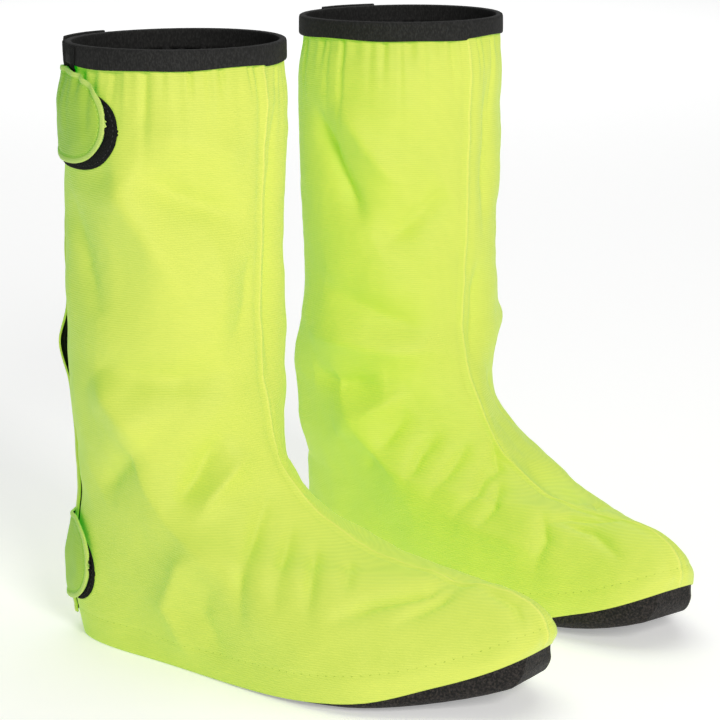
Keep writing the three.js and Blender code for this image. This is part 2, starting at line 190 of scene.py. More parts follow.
def normals(level, angle):
    step = 1e-3
    level, angle = np.broadcast_arrays(np.asarray(level, float), np.asarray(angle, float))
    up = bare(np.minimum(level + step, 2), angle) - bare(np.maximum(level - step, 0), angle)
    round_ = bare(level, angle + step) - bare(level, angle - step)
    n = np.cross(up, round_)
    n[..., 2] *= smooth(level, 0, 0.1)
    return n / np.linalg.norm(n, axis=-1, keepdims=True)


ROWS = 120  # rows of the table for each unit of level
SHARES = 400  # equal shares of the outline in each row


def outline_table(sign):
    """For levels from 0 to 2: the length of the outline on one side, and the angles at even shares of it."""
    angle = np.linspace(0, pi, 721)
    p = bare(np.linspace(0, 2, 2 * ROWS + 1)[:, None], sign * angle[None, :])
    steps = np.linalg.norm(np.diff(p, axis=1), axis=2)
    run = np.concatenate([np.zeros((len(p), 1)), np.cumsum(steps, axis=1)], 1)
    share = np.linspace(0, 1, SHARES + 1)
    return run[:, -1], np.stack([np.interp(share * r[-1], r, angle) for r in run])


OUTLINES = {1: outline_table(1), -1: outline_table(-1)}


def side_length(level, sign):
    return np.interp(np.asarray(level, float) * ROWS, np.arange(2 * ROWS + 1), OUTLINES[sign][0])


def angle_at(level, distance):
    """The angle at a distance in mm round a level from the back, the outer side positive."""
    level, distance = np.broadcast_arrays(np.asarray(level, float), np.asarray(distance, float))
    result = np.zeros(level.shape)
    for sign in (1, -1):
        mine = (distance >= 0) if sign > 0 else (distance < 0)
        share = np.clip(np.abs(distance[mine]) / side_length(level[mine], sign), 0, 1) * SHARES
        row = np.clip(level[mine] * ROWS, 0, 2 * ROWS - 0.001)
        i, j = row.astype(int), np.minimum(share.astype(int), SHARES - 1)
        u, v = row - i, share - j
        table = OUTLINES[sign][1]
        result[mine] = sign * ((1 - u) * ((1 - v) * table[i, j] + v * table[i, j + 1])
                               + u * ((1 - v) * table[i + 1, j] + v * table[i + 1, j + 1]))
    return result


def level_at(height):
    """The level whose back line is at a height."""
    height = np.asarray(height, float)
    foot = np.interp(height, back_line[1][:, 1], back_line[0])
    return np.where(height >= ANKLE_HEIGHT, 1 + (height - ANKLE_HEIGHT) / (PANEL_TOP - ANKLE_HEIGHT), foot)


# Folds of the cloth: (height in mm before FOLD_DEPTH, width in mm, line), a ridge where the height is
# positive. The line's points are (percent of the way from the back to the front seam, percent of the
# level: 0 sole, 100 ankle, 200 top), and negative percentages are on the inner side.
FOLDS = {
    "right": [
        # Shaft, outer side.
        (7.5, 15, ((47, 180), (56, 158), (65, 141), (73, 126))),
        (-3.4, 12, ((32, 156), (39, 134), (46, 120))), (3.6, 13, ((60, 178), (75, 173), (92, 168))),
        (-5.5, 12, ((58, 164), (70, 158), (80, 154), (92, 149))),
        (2.8, 12, ((80, 146), (84, 132), (82, 116))), (-3, 9, ((94, 140), (93, 124), (88, 112))),
        (-5.5, 13, ((42, 105), (56, 103), (70, 102), (86, 104))), (6, 13, ((43, 103), (52, 94), (59, 87))),
        (-4.5, 10, ((58, 85), (46, 78), (28, 62))), (4.5, 8, ((63, 66), (71, 74), (80, 81), (90, 88))),
        (-4.5, 7, ((61, 72), (71, 80), (82, 91))),
        # Heel and foot, outer side.
        (3.4, 10, ((37, 4), (36, 22), (45, 38), (66, 60))), (-2.2, 9, ((45, 6), (44, 22), (51, 34))),
        (-3.6, 4.6, ((88, 76), (74, 62), (59, 38), (53, 23))), (-3.4, 4.2, ((90, 70), (73, 50), (62, 28))),
        (-3.2, 4.2, ((89, 62), (73, 39), (67, 26))), (-2.6, 3.8, ((90, 54), (77, 34))),
        (-3.8, 4.4, ((70, 24), (79, 29), (90, 32), (-94, 33))), (-3.4, 4, ((80, 22), (90, 28), (-93, 29))),
        (-2.4, 3.6, ((98, 30), (98, 20), (96, 12))),
        # Inner side.
        (-5, 8, ((-92, 190), (-92, 154), (-93, 124), (-96, 98))), (3, 16, ((-22, 72), (-28, 45), (-26, 20))),
        (-4.6, 6, ((-99, 88), (-94, 80), (-86, 74))), (-4, 10, ((-30, 150), (-52, 138), (-70, 120))),
        (3.6, 11, ((-40, 170), (-58, 156))), (-4, 9, ((-50, 92), (-66, 84), (-80, 72))),
        (3.2, 9, ((-45, 78), (-66, 66))), (-3, 7, ((-50, 60), (-70, 46))), (-2.8, 5, ((-62, 36), (-78, 28))),
        (2.6, 8, ((-36, 40), (-34, 14))),
    ],
    "left": [
        # Shaft, inner side.
        (6, 20, ((-32, 98), (-25, 78), (-20, 60), (-16, 40))), (-6, 8, ((-46, 172), (-55, 152), (-65, 134))),
        (4, 10, ((-57, 175), (-67, 159), (-77, 146))), (-5, 11, ((-69, 127), (-78, 133), (-93, 146))),
        (-5, 11, ((-48, 113), (-67, 106), (-87, 99))), (5, 9, ((-42, 96), (-60, 97), (-72, 96), (-92, 96))),
        (-5.5, 9, ((-40, 84), (-56, 85), (-70, 87))), (4.5, 8, ((-40, 63), (-62, 78), (-78, 87))),
        # Instep and foot, inner side.
        (-3.4, 4.6, ((-83, 76), (-72, 68), (-57, 47))), (-3.2, 4.2, ((-91, 75), (-78, 64), (-59, 38))),
        (-3.2, 4.2, ((-93, 70), (-76, 50), (-62, 31))), (-3, 4, ((-90, 62), (-75, 40), (-67, 29))),
        (-3.2, 4.6, ((-76, 81), (-63, 70), (-44, 46))), (-2.6, 4, ((-86, 40), (-80, 26), (-74, 16))),
        (-2.6, 4, ((-87, 36), (-91, 30), (-91, 18))), (-2.6, 3.4, ((-99, 36), (-92, 40), (-84, 34))),
        (-2.8, 3.6, ((-99, 76), (-94, 68), (-86, 62))), (2.6, 8, ((-60, 32), (-78, 20))),
        # Outer side.
        (-6, 18, ((83, 64), (87, 55), (92, 44))), (-3.6, 7, ((89, 186), (89, 157), (91, 130))),
        (-3.6, 7, ((93, 121), (93, 101), (97, 91))), (-6, 11, ((50, 160), (60, 140), (72, 118))),
        (4.4, 10, ((40, 104), (60, 100), (76, 96))), (-3.6, 7, ((40, 84), (56, 88), (66, 94))),
        (-3.4, 6, ((86, 90), (76, 80), (64, 66))), (-2.8, 3.6, ((78, 30), (86, 38), (96, 42))),
        (2.7, 7, ((38, 38), (32, 8))), (-2.5, 6, ((46, 34), (38, 10))),
    ],
}


FOLD_DEPTH = 1.6


def stroke_lift(side, points):
    total = np.zeros(len(points))
    for height, width, line in FOLDS[side]:
        across, level = np.array(line, float).T
        level = level / 100
        length = np.where(across >= 0, side_length(level, 1), side_length(level, -1))
        spots = bare(level, angle_at(level, across / 100 * length))
        lengths = np.linalg.norm(np.diff(spots, axis=0), axis=1)
        best, run, done = np.full(len(points), 1e9), np.zeros(len(points)), 0
        for start, end, length in zip(spots[:-1], spots[1:], lengths):
            t = np.clip(((points - start) @ (end - start)) / length**2, 0, 1)
            away = np.linalg.norm(points - start - t[:, None] * (end - start), axis=1)
            run = np.where(away < best, done + t * length, run)
            best = np.minimum(best, away)
            done += length
        ends = np.minimum(run, lengths.sum() - run) / lengths.sum()
        # The fold is a tent with a narrow rounded top, as in creased cloth: flat flanks that meet in a line.
        away = np.hypot(best, 0.35 * width) - 0.35 * width
        total += FOLD_DEPTH * height * np.exp(-away / (0.8 * width)) * smooth(ends, -0.12, 0.35)
    return total


GATHERS = 27
HEM = 13


def cloth_point(side, sign, level, distance, offset=0.0):
    """Points of the folded cloth, moved outwards by offset mm. distance is measured round the level from the
    back, and sign is 1 on the outer panel, -1 on the inner one."""
    level, distance, offset = (np.array(x, float) for x in np.broadcast_arrays(level, distance, offset))
    whole = side_length(level, sign)
    angle = angle_at(level, sign * np.abs(distance))
    points, outwards = bare(level, angle), normals(level, angle)
    round_, to_seam = np.abs(distance), whole - np.abs(distance)
    # At the seam both panels move the same way, so that their edges stay together.
    outwards[:, 1] *= smooth(to_seam, 0, 7)
    outwards /= np.linalg.norm(outwards, axis=1, keepdims=True)
    below = PANEL_TOP - 12 - points[:, 2]
    gathers = np.zeros(len(points))
    turn = 0 if side == "right" else 2.2
    for k in range(1, GATHERS):
        at = (k + 0.38 * sin(7.3 * k + turn + sign)) * whole / GATHERS
        wide = 2.5 + 1.0 * sin(3.7 * k + turn)
        reach = 12 + 26 * (0.5 + 0.5 * sin(2.7 * k + turn)) ** 2
        gathers -= (1.7 + 1.0 * sin(4.1 * k + sign)) * np.exp(-(((round_ - at) / wide) ** 2)) \
            * np.exp(-((np.maximum(below, 0) / reach) ** 2))
    gathers *= smooth(to_seam, 1, 7)
    puff = 2.2 * smooth(below, -3, 22) * (1 - smooth(below, 26, 120))
    keep = smooth(level, 0, 0.07) * smooth(below, -8, 10)
    sole_edge = sign * round_ / whole * side_length(0 * level, sign)
    above_edge = points[:, 2] - bare(0 * level, angle_at(0 * level, sole_edge))[:, 2]
    hem = -0.35 * np.exp(-(((above_edge - HEM) / 1.1) ** 2)) * (level < 0.5)
    ridge = 0.75 * np.exp(-((to_seam / 1.2) ** 2)) - 0.6 * np.exp(-(((to_seam - 4) / 2.4) ** 2))
    near_seam = np.exp(-((to_seam / 9) ** 2))
    pucker = np.array([noise.noise(Vector((p[0] * 0.10, p[2] * 0.10, 4.0))) for p in points])
    small = np.array([2.4 * noise.noise(Vector(p) * 0.018 + Vector((turn, 0, 0)))
                      + 1.0 * noise.noise(Vector(p) * 0.045) + 0.28 * noise.noise(Vector(p) * 0.12)
                      for p in points])
    if sign > 0:
        calm = 1 - 0.75 * smooth(points[:, 2], 270, 290) * (1 - smooth(round_, 95, 120))
        calm *= 1 - 0.75 * (1 - smooth(points[:, 2], 76, 92)) * (1 - smooth(round_, 55, 75))
    else:
        calm = 1.0
    free = smooth(round_, 4, 34)
    lift = (stroke_lift(side, points) + small + 0.35 * pucker * near_seam) * keep * free * calm
    lift += gathers * smooth(below, -14, 0) * free + puff + ridge * keep + hem
    # The flap presses the cloth under it flat, so that its own face is level with the cloth round it.
    covered = 1 - (smooth(round_, 23, 33) if sign > 0 else smooth(round_, 12, 22))
    pressed = -1.2 * covered * smooth(below, -2, 10) * smooth(level, 0.02, 0.12)
    # Between the two tabs the outer side stands out a little beside the back closure.
    if sign > 0:
        full = smooth(round_, 6, 26) * (1 - smooth(round_, 26, 80))
        pressed += 4.2 * full * smooth(below, 30, 100) * smooth(points[:, 2], 80, 115)
    return points + outwards * (lift + offset + pressed)[:, None]


def placed(points, side):
    """Points of one cover, in mm, to metres in the object's frame."""
    p = np.asarray(points, float) / 1000
    x, y = -p[..., 1], -p[..., 0]
    turned_x = x * cos(TOE_IN) - y * sin(TOE_IN) - HEEL_GAP / 2000
    turned_y = x * sin(TOE_IN) + y * cos(TOE_IN) + heel_line
    turned_y += (STAGGER if side == "left" else -STAGGER) / 2000
    return np.stack([turned_x if side == "right" else -turned_x, turned_y, p[..., 2]], -1)


def grid_piece(name, columns, rows, place, side, weld=False):
    """A sheet made from a grid, bent so that each point at (across, up), both 0 to 1, lies where place puts
    it. place also gives flat coordinates in metres and, for a stitched piece, each point's mm from the edge."""
    b = bmesh.new()
    bmesh.ops.create_grid(b, x_segments=columns, y_segments=rows, size=0.5)
    b.verts.ensure_lookup_table()
    flat = np.array([v.co[:2] for v in b.verts]) + 0.5
    points, cloth_map, *edge = place(flat[:, 0], flat[:, 1])
    where = placed(points, side)
    rim = b.verts.layers.float.new("edge")
    uv = b.loops.layers.uv.new("cloth")
    for v, p in zip(b.verts, where):
        v.co = p
        v[rim] = edge[0][v.index] if edge else 50
    for face in b.faces:
        face.smooth = True
        for loop in face.loops:
            loop[uv].uv = cloth_map[loop.vert.index]
    if weld:
        bmesh.ops.remove_doubles(b, verts=b.verts, dist=2e-6)
    b.normal_update()
    outward = 0
    for face in list(b.faces)[:: max(1, len(b.faces) // 300)]:
        at = face.calc_center_median()
        middle = placed(np.array([68, 0, at.z * 1000]), side)
        outward += face.calc_area() * face.normal.dot(at - Vector(middle))
    if outward < 0:
        bmesh.ops.reverse_faces(b, faces=b.faces)
    data = bpy.data.meshes.new(name)
    b.to_mesh(data)
    b.free()
    piece = bpy.data.objects.new(name, data)
    bpy.context.collection.objects.link(piece)
    return piece


def thicken(piece, thickness, inside=None, rim=None):
    wall = piece.modifiers.new("thickness", "SOLIDIFY")
    wall.thickness = thickness / 1000
    wall.offset = -1
    wall.use_even_offset = False
    if inside is not None:
        wall.material_offset = inside
        wall.material_offset_rim = inside if rim is None else rim


def finish_piece(piece, materials, body, nodes):
    for material in materials:
        piece.data.materials.append(material)
    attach(piece, body)
    if nodes:
        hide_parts(*nodes)


def panel(side, which, columns=150, rows=230):
    sign = 1 if which == "outer" else -1

    def place(across, up):
        level = np.where(up < 0.55, up / 0.55, 1 + (up - 0.55) / 0.45)
        whole = side_length(level, sign)
        distance = mix(0.15, whole - 0.15, 1 - (1 - across) ** 1.4)
        points = cloth_point(side, sign, level, distance)
        # The lowest cloth is drawn under, so that it all but meets the ground behind the ball of the foot.
        share = (points[:, 0] - 7) / (FOOT_LENGTH - 7)
        points[:, 2] -= 2.4 * (1 - smooth(level, 0, 0.06)) * (1 - smooth(share, 0.74, 0.86))
        points[:, 1] = sign * np.maximum(sign * points[:, 1], 0.15)
        return points, np.stack([distance / 1000, points[:, 2] / 1000], 1), whole - distance

    return grid_piece(f"{side}_{which}_cloth", columns, rows, place, side)


def new_material(name):
    m = bpy.data.materials.new(name)
    m.use_nodes = True
    return m, m.node_tree, m.node_tree.nodes["Principled BSDF"]


def node(tree, kind, **values):
    n = tree.nodes.new(kind)
    for key, value in values.items():
        if key in n.inputs:
            n.inputs[key].default_value = value
        else:
            setattr(n, key, value)
    return n


def maths(tree, operation, a, b=None, c=None):
    n = node(tree, "ShaderNodeMath", operation=operation)
    for socket, value in zip(n.inputs, (a, b, c)):
        if value is None:
            continue
        if isinstance(value, (int, float)):
            socket.default_value = value
        else:
            tree.links.new(value, socket)
    return n.outputs[0]


def ribbed_cloth(name, colour, painted_glow, edge_colour, edge_width):
    """Coated cloth with fine level ribs, a little mottling and faint threads across the ribs. Along its
    edge, a band edge_width mm wide has its own colour. Its emission is a painted green glow, as strong in
    shade as in light."""
    m, tree, surface = new_material(name)
    link = tree.links.new
    uv = node(tree, "ShaderNodeUVMap", uv_map="cloth")
    parts = node(tree, "ShaderNodeSeparateXYZ")
    link(uv.outputs[0], parts.inputs[0])
    place = node(tree, "ShaderNodeTexCoord")
    wander = node(tree, "ShaderNodeTexNoise", Scale=60.0, Detail=2.0)
    link(place.outputs["Object"], wander.inputs["Vector"])
    bent = maths(tree, "MULTIPLY_ADD", wander.outputs["Fac"], 0.0007, parts.outputs[1])
    rib = maths(tree, "SINE", maths(tree, "MULTIPLY", bent, 2 * pi / 0.0013))
    thread = maths(tree, "SINE", maths(tree, "MULTIPLY", parts.outputs[0], 2 * pi / 0.0007))
    mottle = node(tree, "ShaderNodeTexNoise", Scale=42.0, Detail=4.0, Roughness=0.6)
    link(place.outputs["Object"], mottle.inputs["Vector"])
    grime = node(tree, "ShaderNodeTexNoise", Scale=7.0, Detail=3.0, Roughness=0.5)
    link(place.outputs["Object"], grime.inputs["Vector"])
    height = maths(tree, "MULTIPLY_ADD", rib, 0.5, maths(tree, "MULTIPLY", thread, 0.14))
    patchy = maths(tree, "MULTIPLY_ADD", maths(tree, "SUBTRACT", mottle.outputs["Fac"], 0.5), 0.09, 1.0)
    patchy = maths(tree, "MULTIPLY_ADD", maths(tree, "SUBTRACT", grime.outputs["Fac"], 0.5), 0.08, patchy)
    value = maths(tree, "MULTIPLY_ADD", rib, 0.03, patchy)
    tint = node(tree, "ShaderNodeHueSaturation", Color=(*colour, 1))
    link(value, tint.inputs["Value"])
    edge = node(tree, "ShaderNodeAttribute", attribute_name="edge")
    pale = node(tree, "ShaderNodeMapRange", interpolation_type="SMOOTHSTEP")
    link(edge.outputs["Fac"], pale.inputs["Value"])
    pale.inputs["From Min"].default_value = 0.8 * edge_width
    pale.inputs["From Max"].default_value = 1.2 * edge_width
    pale.inputs["To Min"].default_value = 1.0
    pale.inputs["To Max"].default_value = 0.0
    both = node(tree, "ShaderNodeMix", data_type="RGBA")
    link(pale.outputs[0], both.inputs[0])
    both.inputs[6].default_value = (*colour, 1)
    both.inputs[7].default_value = (*edge_colour, 1)
    link(both.outputs[2], tint.inputs["Color"])
    link(tint.outputs[0], surface.inputs["Base Color"])
    bump = node(tree, "ShaderNodeBump", Strength=0.5, Distance=0.00022)
    link(height, bump.inputs["Height"])
    link(bump.outputs[0], surface.inputs["Normal"])
    link(maths(tree, "MULTIPLY_ADD", mottle.outputs["Fac"], 0.16, 0.48), surface.inputs["Roughness"])
    surface.inputs["Specular IOR Level"].default_value = 0.3
    surface.inputs["Sheen Weight"].default_value = 0.1
    surface.inputs["Sheen Roughness"].default_value = 0.5
    # Painted glow: an even green emission that lifts and greens the shaded cloth, though it is no lamp.
    surface.inputs["Emission Color"].default_value = (*painted_glow, 1)
    surface.inputs["Emission Strength"].default_value = 1.0
    return m


def dark_textile(name, colour, scale, depth, fleck=0.5, rough=0.85, stretch=(1, 1, 1)):
    """Black textile or rubber: an even fine grain with lighter flecks."""
    m, tree, surface = new_material(name)
    link = tree.links.new
    place = node(tree, "ShaderNodeTexCoord")
    mapping = node(tree, "ShaderNodeMapping", Scale=stretch)
    link(place.outputs["Object"], mapping.inputs["Vector"])
    grain = node(tree, "ShaderNodeTexNoise", Scale=scale, Detail=4.0, Roughness=0.65)
    link(mapping.outputs[0], grain.inputs["Vector"])
    ramp = node(tree, "ShaderNodeValToRGB")
    ramp.color_ramp.elements[0].position, ramp.color_ramp.elements[1].position = 0.44, 0.68
    ramp.color_ramp.elements[0].color = (*[c * (1 - fleck * 0.5) for c in colour], 1)
    ramp.color_ramp.elements[1].color = (*[c * (1 + 2.4 * fleck) for c in colour], 1)
    link(grain.outputs["Fac"], ramp.inputs[0])
    link(ramp.outputs[0], surface.inputs["Base Color"])
    bump = node(tree, "ShaderNodeBump", Strength=0.8, Distance=depth)
    link(grain.outputs["Fac"], bump.inputs["Height"])
    link(bump.outputs[0], surface.inputs["Normal"])
    surface.inputs["Roughness"].default_value = rough
    surface.inputs["Specular IOR Level"].default_value = 0.3
    return m


# The cover's cloth: its own yellow-green colour, with a painted green glow that keeps its shaded parts bright.
yellow_cloth = ribbed_cloth(
    "yellow_green_cloth", (0.75, 0.56, 0.135), (0.0, 0.29, 0.0), (0.84, 0.60, 0.17), 0.9)
backing = dark_textile("cloth_backing", (0.012, 0.012, 0.012), 900, 0.0003)
SIDES = ("right", "left")

for side in SIDES:
    for which in ("outer", "inner"):
        piece = panel(side, which)
        thicken(piece, CLOTH, inside=1, rim=0)
        finish_piece(piece, [yellow_cloth, backing], f"{side}_cover", [f"{side}_{which}_panel"])

# ---------------------------------------------------------------------------------------------------
# Sole: rubberised cloth with a pebbled face, tucked under the panels' lower edge. It lies flat on the ground
# and turns up round the toe, where a broad crescent of it shows.
SOLE = 2.0
RIM = 9
pebbled = dark_textile("pebbled_rubber", (0.010, 0.008, 0.0072), 700, 0.0009, fleck=1.6, rough=0.62)

for side in SIDES:
    def place(along, across):
        level = np.zeros(len(along))
        lean = 2 * across - 1
        outer = bare(level, angle_at(level, along * side_length(level, 1)))
        inner = bare(level, angle_at(level, -along * side_length(level, -1)))
        edge = np.where((lean >= 0)[:, None], outer, inner)
        to_side = 1 - (1 - np.abs(lean)) ** 1.8
        share = (edge[:, 0] - 7) / (FOOT_LENGTH - 12)
        to_ends = np.minimum(edge[:, 0] - 7, FOOT_LENGTH - 4.7 - edge[:, 0])
        inwards = np.minimum((1 - to_side) * np.abs(edge[:, 1]), to_ends)
        rim = np.clip(1 - inwards / RIM, 0, 1)
        under = 0.05 + 18 * np.clip(share, 0, 1) ** 7
        # The turned-up rim is round: steep at the top, and it creases a little as it goes round the toe.
        top = edge[:, 2] + 0.6
        height = mix(under, top, 1 - np.sqrt(np.clip(1 - rim**2, 0, 1)))
        crease = 0.35 * np.sin(along * 190) * rim * smooth(share, 0.75, 0.95)
        tuck = 1 - 0.9 * smooth(rim, 0.8, 1.0) / np.maximum(np.abs(edge[:, 1]), 20)
        points = np.stack([edge[:, 0] - 0.8 * smooth(rim, 0.85, 1) * smooth(share, 0.9, 1.0),
                           to_side * edge[:, 1] * tuck, height + crease], 1)
        return points, points[:, :2] / 1000

    piece = grid_piece(f"{side}_rubber_sole", 240, 90, place, side, weld=True)
    thicken(piece, SOLE)
    finish_piece(piece, [pebbled], f"{side}_cover", [f"{side}_sole"])

# ---------------------------------------------------------------------------------------------------
# Elastic band: black knitted elastic folded over the upper edge of the panels, drawn a little tight, so
# that it is not quite level.
BAND_HEIGHT = 12.5
BAND_OUT = 1.4
knit = dark_textile(
    "knitted_elastic", (0.014, 0.014, 0.0135), 1100, 0.0003, rough=0.8, stretch=(1, 1, 0.45))
# The band's section, from its outer lower edge over the top to the inner one: (mm outwards, share up).
band_path = [(BAND_OUT, 0.0), (BAND_OUT + 0.25, 0.05), (BAND_OUT + 0.3, 0.25), (BAND_OUT + 0.25, 0.6),
             (BAND_OUT + 0.2, 0.85), (BAND_OUT - 0.2, 0.96), (0.4, 1.0), (-1.6, 1.0), (-2.6, 0.96),
             (-2.8, 0.85), (-2.8, 0.5), (-2.7, 0.0)]
band_out, band_up = np.array(band_path).T

for side in SIDES:
    def place(along, across):
        level = np.full(len(along), 2.0)
        outer = side_length(level, 1)
        total = outer + side_length(level, -1)
        distance = along * total
        signed = np.where(distance <= outer, distance, distance - total)
        step = across * (len(band_path) - 1)
        out = np.interp(step, np.arange(len(band_path)), band_out)
        up = np.interp(step, np.arange(len(band_path)), band_up)
        low = HEIGHT - BAND_HEIGHT + 0.5 * np.sin(signed / 23) + 0.35 * np.sin(signed / 9 + 1)
        high = HEIGHT - 0.55 - 0.45 * (0.5 + 0.5 * np.sin(signed / 31 + 2))
        angle = angle_at(level, signed)
        points = bare(level, angle) + normals(level, angle) * out[:, None]
        points[:, 2] = mix(low, high, up)
        return points, np.stack([distance / 1000, points[:, 2] / 1000], 1)

    piece = grid_piece(f"{side}_elastic_band", 260, 33, place, side, weld=True)
    thicken(piece, 0.8)
    finish_piece(piece, [knit], f"{side}_cover", [f"{side}_collar_band"])

# ---------------------------------------------------------------------------------------------------
# Inside the cover: sealing tape behind the front seam and the turned-in hem above the sole.
film = dark_textile("sealing_film", (0.02, 0.02, 0.02), 300, 0.0001, fleck=0.3, rough=0.4)


def along_cloth(side, level, distance, offset):
    """Points at levels and distances round the folded cloth from the back, outer side positive."""
    level, distance, offset = (np.array(x, float) for x in np.broadcast_arrays(level, distance, offset))
    points = np.zeros((len(level), 3))
    for sign in (1, -1):
        mine = (distance >= 0) if sign > 0 else (distance < 0)
        if mine.any():
            points[mine] = cloth_point(side, sign, level[mine], distance[mine], offset[mine])
    return points


for side in SIDES:
    def place(across, up):
        level = mix(1.0, 1.93, up)
        away = 10 * (1 - np.abs(2 * across - 1))
        sign = np.where(across < 0.5, 1, -1)
        whole = np.where(sign > 0, side_length(level, 1), side_length(level, -1))
        distance = sign * (whole - (10 - away))
        return along_cloth(side, level, distance, -CLOTH - 0.5), np.stack([distance, 100 * level], 1) / 1000

    piece = grid_piece(f"{side}_seam_sealing", 8, 120, place, side)
    thicken(piece, 0.5)
    finish_piece(piece, [film], f"{side}_cover", [f"{side}_front_seam_tape"])

    def place(across, up):
        level = mix(0.012, 0.075, up)
        outer, inner = side_length(level, 1), side_length(level, -1)
        distance = np.where(across <= 0.5, 2 * across * outer, -(2 - 2 * across) * inner)
        return along_cloth(side, level, distance, -CLOTH - 0.9), np.stack([distance, 100 * level], 1) / 1000

    piece = grid_piece(f"{side}_turned_hem", 160, 4, place, side)
    thicken(piece, 0.5)
    finish_piece(piece, [film], f"{side}_cover", [f"{side}_hem_facing"])

# ---------------------------------------------------------------------------------------------------
# Back closure, fixed half: a strip of black loop tape up the edge of the outer panel. Near the top it widens
# over the elastic band, where the flap's own band grips it.
LAID = 0.4
STRIP = 0.8
loop_pile = dark_textile("loop_pile", (0.006, 0.0065, 0.006), 1500, 0.0007, fleck=0.9, rough=0.95)
FLAP_SEWN, FLAP_EDGE = -12, 28
STRIP_FROM, STRIP_TO, STRIP_LOW = 7, 24, 17


def wrap(side, height, distance, offset):
    """Points at heights and distances round the folded cloth from the back, outer side positive."""
    points = along_cloth(side, np.minimum(level_at(height), 2), distance, offset)
    points[:, 2] = np.where(height > PANEL_TOP, height, points[:, 2])
    return points


for side in SIDES:
    def place(across, up):
        height = mix(STRIP_LOW, HEIGHT - 1.5, up)
        wide = smooth(height, 330, 343)
        distance = mix(STRIP_FROM, STRIP_TO + (49 + 1.2 * np.sin(height / 5)) * wide, across)
        over_band = smooth(height, 342, 345)
        offset = mix(LAID + STRIP, BAND_OUT + 1.2, over_band)
        return wrap(side, height, distance, offset), np.stack([distance, height], 1) / 1000

    piece = grid_piece(f"{side}_loop_strip", 30, 190, place, side)
    thicken(piece, STRIP)
    finish_piece(piece, [loop_pile], f"{side}_cover", [f"{side}_back_loop_tape"])

# ---------------------------------------------------------------------------------------------------
# Back flap: a strip of the cloth sewn to the inner panel that laps over the outer one, with hook tape on
# its underside. Its free edge is turned and stitched, and gapes a little above the ankle.
FLAP_IN = 2.4
HOOK_IN = 1.4
FLAP_LOW, FLAP_HIGH = 11, 345
# The flap's cloth is a darker copy of the cover's cloth: painted shade, with a weaker painted green glow.
flap_cloth_painted_shade = ribbed_cloth("flap_cloth_painted_shade", (0.68, 0.55, 0.12), (0.0, 0.25, 0.0), (0.76, 0.58, 0.15), 2.8)
hook_tape = dark_textile("hook_tape", (0.013, 0.013, 0.012), 2200, 0.0005, fleck=0.7, rough=0.7)


def gape(height, distance):
    return 6.0 * smooth(distance, 2, FLAP_EDGE) ** 1.3 * np.exp(-(((height - 176) / 17) ** 2)) \
        + 0.3 * smooth(distance, 4, FLAP_EDGE) * np.sin(height / 17) ** 2


for side in SIDES:
    def place(across, up):
        height = mix(FLAP_LOW, FLAP_HIGH, up)
        edge_at = FLAP_EDGE + 0.8 * np.sin(height / 29)
        distance = mix(FLAP_SEWN, edge_at, across)
        edge = edge_at - distance
        stand = mix(mix(LAID, FLAP_IN, smooth(distance, FLAP_SEWN, 0)), 0.35, 1 - smooth(edge, 0.3, 3.6))
        stand += CLOTH + gape(height, distance)
        stand += 0.35 * (1 - smooth(edge, 2.4, 3.2)) - 0.3 * np.exp(-(((edge - 3.8) / 0.6) ** 2))
        stand += 0.35 * (1 - smooth(distance, FLAP_SEWN + 2, FLAP_SEWN + 4))
        return wrap(side, height, distance, stand), np.stack([distance, height], 1) / 1000, edge

    piece = grid_piece(f"{side}_flap", 44, 220, place, side)
    thicken(piece, CLOTH, inside=1, rim=0)
    finish_piece(piece, [flap_cloth_painted_shade, backing], f"{side}_flap", [f"{side}_back_flap"])

    def place(across, up):
        height = mix(STRIP_LOW, FLAP_HIGH - 3.5, up)
        distance = mix(STRIP_FROM, STRIP_TO, across)
        stand = HOOK_IN + STRIP + gape(height, distance)
        return wrap(side, height, distance, stand), np.stack([distance, height], 1) / 1000

    piece = grid_piece(f"{side}_hook_strip", 12, 150, place, side)
    thicken(piece, STRIP)
    finish_piece(piece, [hook_tape], f"{side}_flap", [f"{side}_back_hook_tape"])

    # The flap's own piece of elastic over the end of the band.
    def place(across, up):
        distance = mix(FLAP_SEWN, FLAP_EDGE, across)
        height = mix(FLAP_HIGH + 1, HEIGHT - 0.1, up)
        stand = mix(2.0, 3.2, smooth(distance, FLAP_SEWN, 4)) + 1.6 - 0.5 * (2 * up - 1) ** 4
        level = np.full(len(across), 2.0)
        angle = angle_at(level, distance)
        points = bare(level, angle) + normals(level, angle) * stand[:, None]
        points[:, 2] = height
        return points, np.stack([distance, height], 1) / 1000

    piece = grid_piece(f"{side}_flap_elastic", 40, 12, place, side)
    thicken(piece, 1.5)
    finish_piece(piece, [knit], f"{side}_flap", [f"{side}_flap_band"])

# ---------------------------------------------------------------------------------------------------
# Closing tabs: two padded tongues of the cloth, sewn to the flap, one below the elastic band and one at the
# heel. Each has a bound edge, stitching inside it, a hook pad behind and a black loop patch on the panel.
TAB = 1.4
PATCH = 0.8
TAB_STITCHES, PATCH_STITCHES = 3.9, 2.2  # from the edge to the line of stitching
# The tabs' darker, greener colour, rim included, is partly the cloth's other face and partly painted shade, as
# they face away from the key lamp. Their emission is a painted green glow.
tab_cloth_painted_shade = ribbed_cloth("tab_cloth_painted_shade", (0.46, 0.46, 0.075), (0.0, 0.20, 0.0), (0.60, 0.56, 0.17), 2.6)
# For each: where it starts, where it ends and where its round end begins, in mm round from the back; then the
# height of its middle at the start and at the end; then half its height at the start and further on.
TONGUES = {
    "top_tab": (18, 101.5, 58, 319, 316, 22, 26.5),
    "heel_tab": (18, 60, 18, 49, 48, 24, 27),
    "top_patch": (46, 107.5, 68, 311, 311, 23, 23.5),
    "heel_patch": (40, 62, 24, 44, 43, 22, 22),
}


